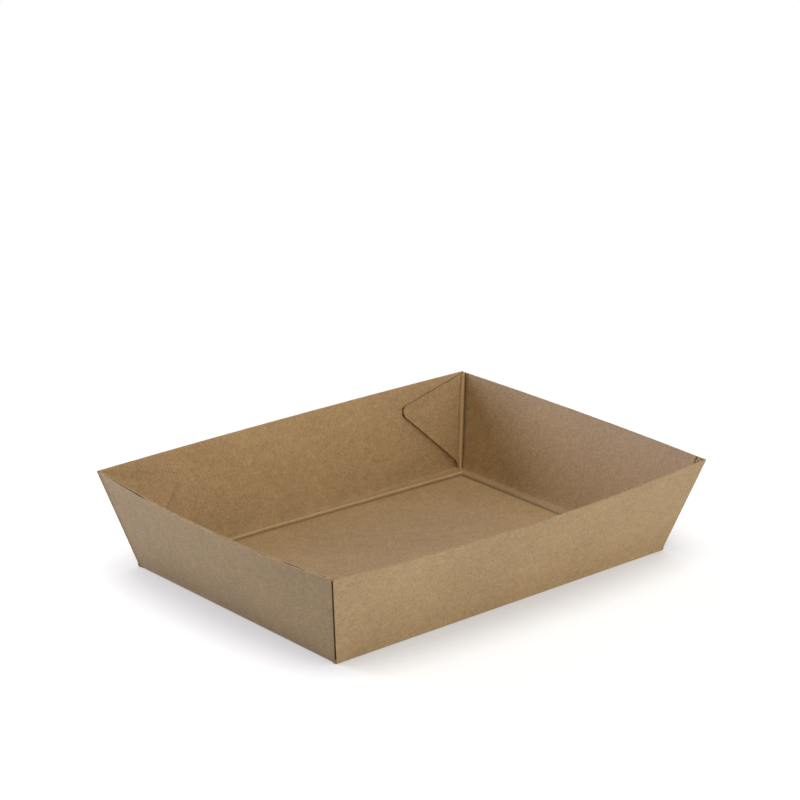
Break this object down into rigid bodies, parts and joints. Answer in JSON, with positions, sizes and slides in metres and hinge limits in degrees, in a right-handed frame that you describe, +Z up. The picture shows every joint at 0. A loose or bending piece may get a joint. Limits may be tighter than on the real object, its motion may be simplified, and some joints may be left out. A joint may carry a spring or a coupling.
{
  "type": "cardboard tray box",
  "caption": "Open rectangular tray folded from fine corrugated kraft board, with leaning walls and glued three-cornered corner flaps.",
  "frame": {"origin": "middle of the floor's underside, at the bottom centre of the box around the tray", "axes": "+Z up, +X along the long walls, +Y across the tray"},
  "size_m": [0.2124, 0.1612, 0.042],
  "materials": {
    "kraft_board": "matte"
  },
  "bodies": {
    "root": {"folded_tray": "kraft_board"}
  },
  "joints": []
}
